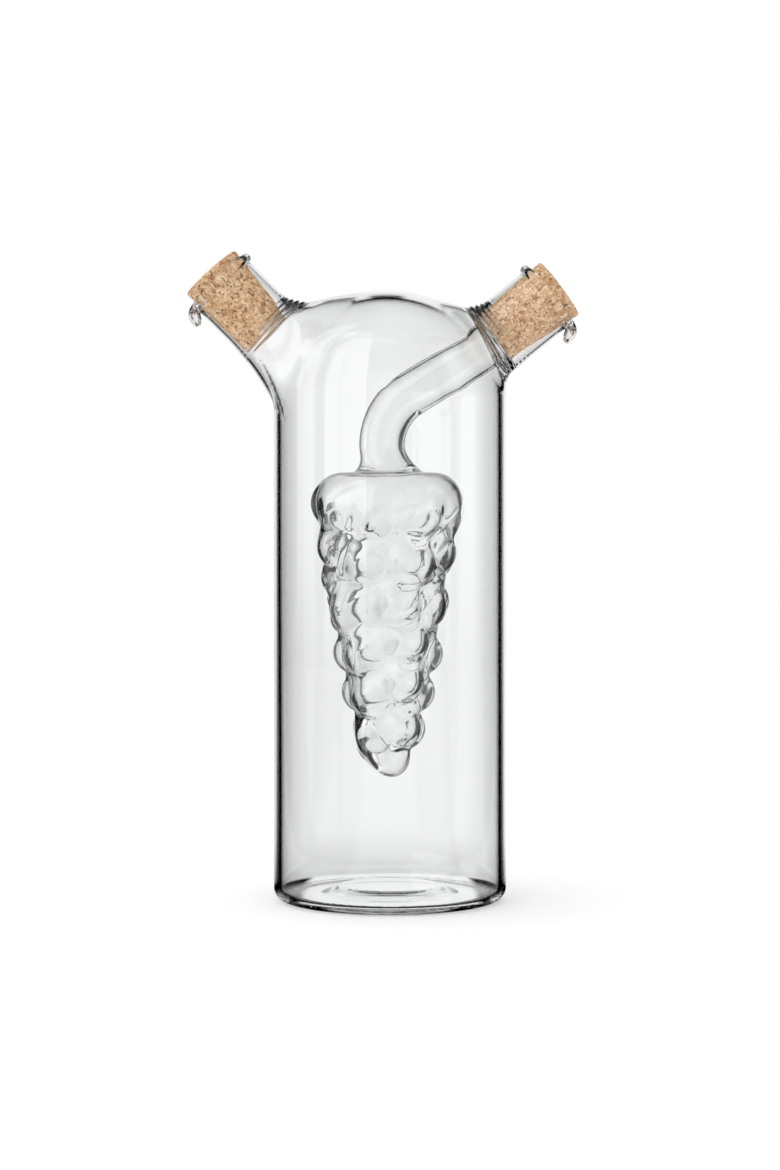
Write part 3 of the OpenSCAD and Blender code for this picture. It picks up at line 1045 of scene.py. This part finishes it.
def surroundings(add, azimuth, studio, lift=1.0, cards=1.0):
    """What glass sees level with it, by azimuth from straight behind the cruet in degrees.

    The backdrop is full in the middle, dims to either side and ends at 26 degrees. Dimmer cards
    stand round the rest of the room, with dark gaps between them.
    """
    shades = ((-26, 0.0), (-23, 0.66), (-13, 0.74), (-8, 0.84), (-5, 0.87), (-3, 0.92), (0, 1.0),
              (3, 0.98), (5, 0.97), (8, 0.97), (13, 0.94), (20, 0.82), (23, 0.72), (26, 0.0))
    place = add("Math", add("Math", azimuth, 40.0, operation="ADD")[0], 80.0, operation="DIVIDE")
    backdrop = add("ValToRGB", place[0], stops=[((at + 40) / 80, shade) for at, shade in shades])
    backdrop = add("Math", backdrop[0], lift, operation="POWER")[0]
    card_levels = [
        product(add, window(add, azimuth, low, high, soft), level, cards)
        for low, high, soft, level in (
            (75, 122, 3, 0.54), (-94, -68, 2, 0.36), (-101, -79, 3, 0.6), (128, 190, 5, 0.5),
            (-190, -158, 3, 0.5))
    ]
    return greatest(add, product(add, backdrop, studio.backdrop), *card_levels)


def build_world(studio):
    """A bright-field studio: white behind, dark between, and soft boxes to the sides.

    The camera sees plain white and matt surfaces a plain soft sky. Glass sees the backdrop end
    in darkness on either side, which draws its edges as dark lines.
    """
    world = bpy.data.worlds.new("bright_field_studio")
    bpy.context.scene.world = world
    world.use_nodes = True
    world.node_tree.nodes.clear()
    add = partial(node, world.node_tree)
    x, y, z = add("SeparateXYZ", add("TexCoord")["Generated"])
    azimuth = bearing(add, x, y)
    rise = add("Math", add("Math", z, operation="ARCSINE")[0], operation="DEGREES")[0]
    up = add("Math", greatest(add, rise, 0.0), 40.0, operation="DIVIDE")[0]
    tall = add("ValToRGB", up, stops=(
        (0.0, 0.98), (0.2, 0.97), (0.34, 0.95), (0.52, 0.9), (0.74, 0.85), (0.8, 0.0)))[0]
    # the backdrop is more even above the floor's far edge than at it
    lift = add("MapRange", rise, -4.0, 1.0, 1.0, 0.6)[0]
    backdrop = product(add, surroundings(add, azimuth, studio, lift), tall)
    # a white ceiling behind, with a dark gap in its middle
    aside = add("Math", azimuth, operation="ABSOLUTE")[0]
    ceiling = product(add, window(add, aside, 5, 26, 1.5), window(add, rise, 27, 37, 1.5), 0.9)
    # each soft box: its azimuths, the softness of its sides, its rise, and its share
    boxes = [
        product(add, window(add, azimuth, low, high, soft), window(add, rise, foot, top, 3.0),
                studio.softbox * share)
        for low, high, soft, foot, top, share in (
            (-157, -112, 0.4, -3.2, 66, 1.0), (-99, -74.5, 0.4, -3.2, 70, 0.85),
            (86, 112, 1.0, -6.0, 45, 0.5))
    ]
    room = greatest(add, backdrop, ceiling, *boxes)
    path = add("LightPath")
    matt = add("Math", path["Diffuse Depth"], 1.0, operation="MINIMUM")[0]
    # matt surfaces are lit by a soft sky, a little stronger from the upper left
    slant = add("Math", 0.95, product(add, x, -0.22), operation="ADD")[0]
    # the cork inside a neck is lit as brightly as the cork outside it
    behind = product(add, window(add, path["Transmission Depth"], 2.5, 99, 0.1), 0.8)
    behind = add("Math", 1.0, behind, operation="ADD")[0]
    sky = product(add, slant, studio.daylight, behind)
    level = add("Mix", Factor=matt, A=room, B=sky)[0]
    seen = add("Mix", Factor=path["Is Camera Ray"], A=level, B=1.0)[0]
    light = add("Background", Color=(1, 1, 1, 1), Strength=seen)[0]
    add("OutputWorld", light)


def floor_material(studio):
    """A matt white sweep, lit for the camera so that it keeps the shadow. Glass sees it glow with
    a painted tone: painted shade in a ring round the cruet and beside its heel, and painted cards
    of the room.
    """
    material, add = blank_material("matt_white_sweep")
    x, y, _ = add("SeparateXYZ", add("TexCoord")["Object"])
    away = add("Math", product(add, x, x), product(add, y, y), operation="ADD")[0]
    away = add("Math", away, operation="SQRT")[0]
    # the azimuth counts from the body's edges, since that is where slanting rays leave it
    wide = add("Math", x, operation="ABSOLUTE")[0]
    past_edge = greatest(add, add("Math", wide, 0.0285, operation="SUBTRACT")[0], 0.0)
    side = add("Math", x, operation="SIGN")[0]
    azimuth = bearing(add, product(add, past_edge, side), y)
    # painted shade by distance from the middle, in millimetres: a darker ring round the cruet
    shades = ((0, 1.0), (41, 1.0), (48, 0.72), (56, 0.72), (65, 0.77), (83, 0.79), (101, 0.87),
              (131, 0.96), (160, 0.99), (300, 1.0))
    reach = add("Math", away, 0.4, operation="DIVIDE")[0]
    near = add("ValToRGB", reach, stops=[(at / 400, shade) for at, shade in shades])[0]
    # painted shade: the floor beside the heel is darkened, so that the heel of the glass shows
    # dark
    heel = product(add, window(add, wide, 0.0245, 9, 0.0015), window(add, away, -1, 0.045, 0.004))
    clear_of_painted_heel_shade = add("Math", 1.0, heel, operation="SUBTRACT")[0]
    # within the ring of the foot the painted tone is full, without painted shade or cards
    under = add("Math", away, 0.0275, operation="LESS_THAN")[0]
    # painted reflections of the room's cards and dark gaps, from 90 mm out
    cards = window(add, away, 0.09, 9, 0.03)
    room = greatest(add, under, surroundings(add, azimuth, studio, cards=cards))
    painted_tone = product(add, near, room, clear_of_painted_heel_shade)
    matt = add("BsdfDiffuse", (0.85, 0.85, 0.85, 1))[0]
    fill = add("Emission", Strength=0.2)[0]
    lit = add("AddShader", matt, fill)[0]
    plain = add("Emission", Strength=painted_tone)[0]
    # only rays that glass sends straight on see the painted tone, which glows though the floor is
    # no lamp
    path = add("LightPath")
    sharp = greatest(add, path["Is Glossy Ray"], path["Is Transmission Ray"])
    after_matt = add("Math", path["Diffuse Depth"], 1.0, operation="MINIMUM")[0]
    straight = add("Math", 1.0, after_matt, operation="SUBTRACT")[0]
    mix = add("MixShader", product(add, sharp, straight), lit, plain)[0]
    add("OutputMaterial", mix)
    return material


# ---- operators


class CRUET_OT_bottle(bpy.types.Operator):
    """Blow the outer bottle with its dome, swellings, necks and pour lips"""

    bl_idname = "cruet.bottle"
    bl_label = "Glass bottle"

    def execute(self, context):
        piece = build_bottle([
            # the inner face and the fused rings carry painted edge shade, and the outer face none
            glass_material("borosilicate_outer_face", 0.0, 0.000002),
            glass_material("borosilicate_inner_face", 0.99, 0.000003),
            glass_material("fused_ring_face", 0.95, 0.000002, 0.045, 0.11),
        ])
        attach(piece, "vessel")
        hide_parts("outer_vessel")
        return {"FINISHED"}


class CRUET_OT_grapes(bpy.types.Operator):
    """Blow the grape-shaped inner vessel and its curved tube"""

    bl_idname = "cruet.grapes"
    bl_label = "Grape vessel"

    def execute(self, context):
        piece = build_grapes([
            # both faces of the grape vessel carry painted edge shade, the outer one from lower
            # angles on
            glass_material("mould_blown_outer_face", 0.9, 0.00001, 0.08, 0.35, 420.0),
            glass_material("mould_blown_inner_face", 0.99, 0.000004),
        ])
        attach(piece, "vessel")
        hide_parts("inner_vessel")
        return {"FINISHED"}


class CRUET_OT_corks(bpy.types.Operator):
    """Cut the two tapered corks"""

    bl_idname = "cruet.corks"
    bl_label = "Corks"

    def execute(self, context):
        material = cork_material()
        seed = context.scene.cruet_sizes.cork_seed
        for name, line, lean, body, cad in (
            ("oil_cork", OIL, math.radians(2.8), "oil_cork", "oil_stopper"),
            ("vinegar_cork", VINEGAR, math.radians(-2.2), "vinegar_cork", "vinegar_stopper"),
        ):
            piece = build_cork(name, line, lean, seed + line.side, material)
            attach(piece, body)
            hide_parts(cad)
        return {"FINISHED"}


class CRUET_OT_stage(bpy.types.Operator):
    """Set out the floor, the light and the camera"""

    bl_idname = "cruet.stage"
    bl_label = "Studio"

    def execute(self, context):
        scene = context.scene
        studio = scene.cruet_studio
        sides = 64
        reach = np.array([0, 0.03, 0.06, 0.1, 0.2, 0.35, 0.6, 0.9]) / MM
        turn = np.arange(sides) * TAU / sides
        points = np.zeros((len(reach), sides, 3))
        points[..., 0] = reach[:, None] * np.sin(turn)
        points[..., 1] = reach[:, None] * np.cos(turn)
        points[..., 2] = -0.05
        skin = Skin()
        ring = skin.grid(points[1:])[0]
        middle = skin.add(points[0, :1], np.array([[0, 0, 1.0]]))
        skin.face(np.stack([ring, np.roll(ring, -1), np.full(sides, middle)], 1)[:, ::-1])
        floor = skin.piece("floor", [floor_material(studio)])
        build_world(studio)
        lens = bpy.data.cameras.new("camera")
        lens.sensor_fit = "VERTICAL"
        lens.sensor_height = 36.0
        lens.lens = 86.77
        lens.shift_y = -0.0915
        lens.clip_start, lens.clip_end = 0.05, 50
        camera = bpy.data.objects.new("camera", lens)
        camera.location = (0, -0.79, 0.118)
        camera.rotation_euler = (math.pi / 2, 0, 0)
        scene.collection.objects.link(camera)
        scene.camera = camera
        scene.view_settings.view_transform = "Standard"
        scene.cycles.max_bounces = 32
        scene.cycles.transmission_bounces = 32
        scene.cycles.glossy_bounces = 16
        return {"FINISHED"}


class CRUET_PT_panel(bpy.types.Panel):
    """Lists the cruet's sizes and the steps that build it"""

    bl_idname = "CRUET_PT_panel"
    bl_label = "Oil and vinegar cruet"
    bl_space_type = "VIEW_3D"
    bl_region_type = "UI"
    bl_category = "Cruet"

    def draw(self, context):
        layout = self.layout
        for name in CruetSizes.__annotations__:
            layout.prop(context.scene.cruet_sizes, name)
        for name in StudioSettings.__annotations__:
            layout.prop(context.scene.cruet_studio, name)
        for step in STEPS:
            layout.operator(step.bl_idname)


STEPS = (CRUET_OT_stage, CRUET_OT_bottle, CRUET_OT_grapes, CRUET_OT_corks)
CLASSES = (CruetSizes, StudioSettings, *STEPS, CRUET_PT_panel)


def register():
    for cls in CLASSES:
        bpy.utils.register_class(cls)
    bpy.types.Scene.cruet_sizes = PointerProperty(type=CruetSizes)
    bpy.types.Scene.cruet_studio = PointerProperty(type=StudioSettings)


def unregister():
    del bpy.types.Scene.cruet_studio
    del bpy.types.Scene.cruet_sizes
    for cls in reversed(CLASSES):
        bpy.utils.unregister_class(cls)


def main():
    """Registers the classes and builds every piece in order."""
    register()
    for step in STEPS:
        group, name = step.bl_idname.split(".")
        getattr(getattr(bpy.ops, group), name)()


if __name__ == "__main__":
    main()
